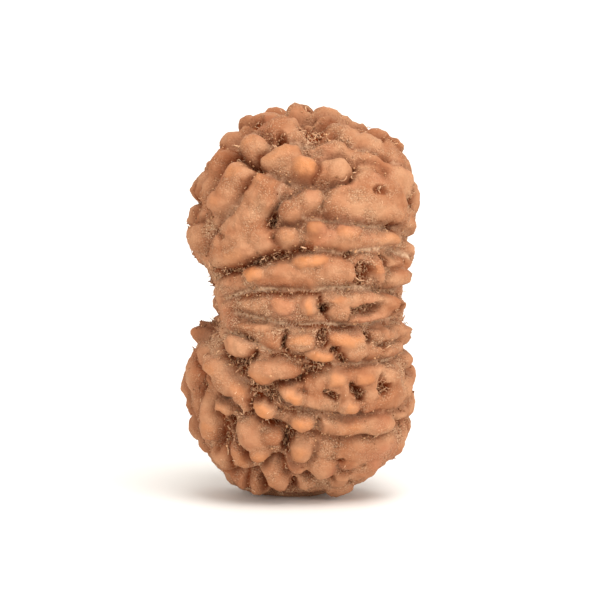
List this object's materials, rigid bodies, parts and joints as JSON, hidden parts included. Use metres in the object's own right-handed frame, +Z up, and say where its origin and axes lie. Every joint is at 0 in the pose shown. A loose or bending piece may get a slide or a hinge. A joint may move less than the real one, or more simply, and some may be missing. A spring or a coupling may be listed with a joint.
{
  "type": "rudraksha seed",
  "caption": "Waisted rudraksha seed standing on one long end, its ribs broken into rounded knobs between level face lines.",
  "frame": {"origin": "on the ground under the middle of the seed's own box, at the height of the small flat spot that it rests on", "axes": "+Z up along the seed's longest extent; the pictured face looks along -Y; the channel mouths look left and right along X, the left one turned 12 degrees to the front"},
  "size_m": [0.0238, 0.026, 0.0393],
  "materials": {
    "seed_stone": "matt to waxy"
  },
  "bodies": {
    "root": {"rudraksha_seed": "seed_stone"}
  },
  "joints": []
}
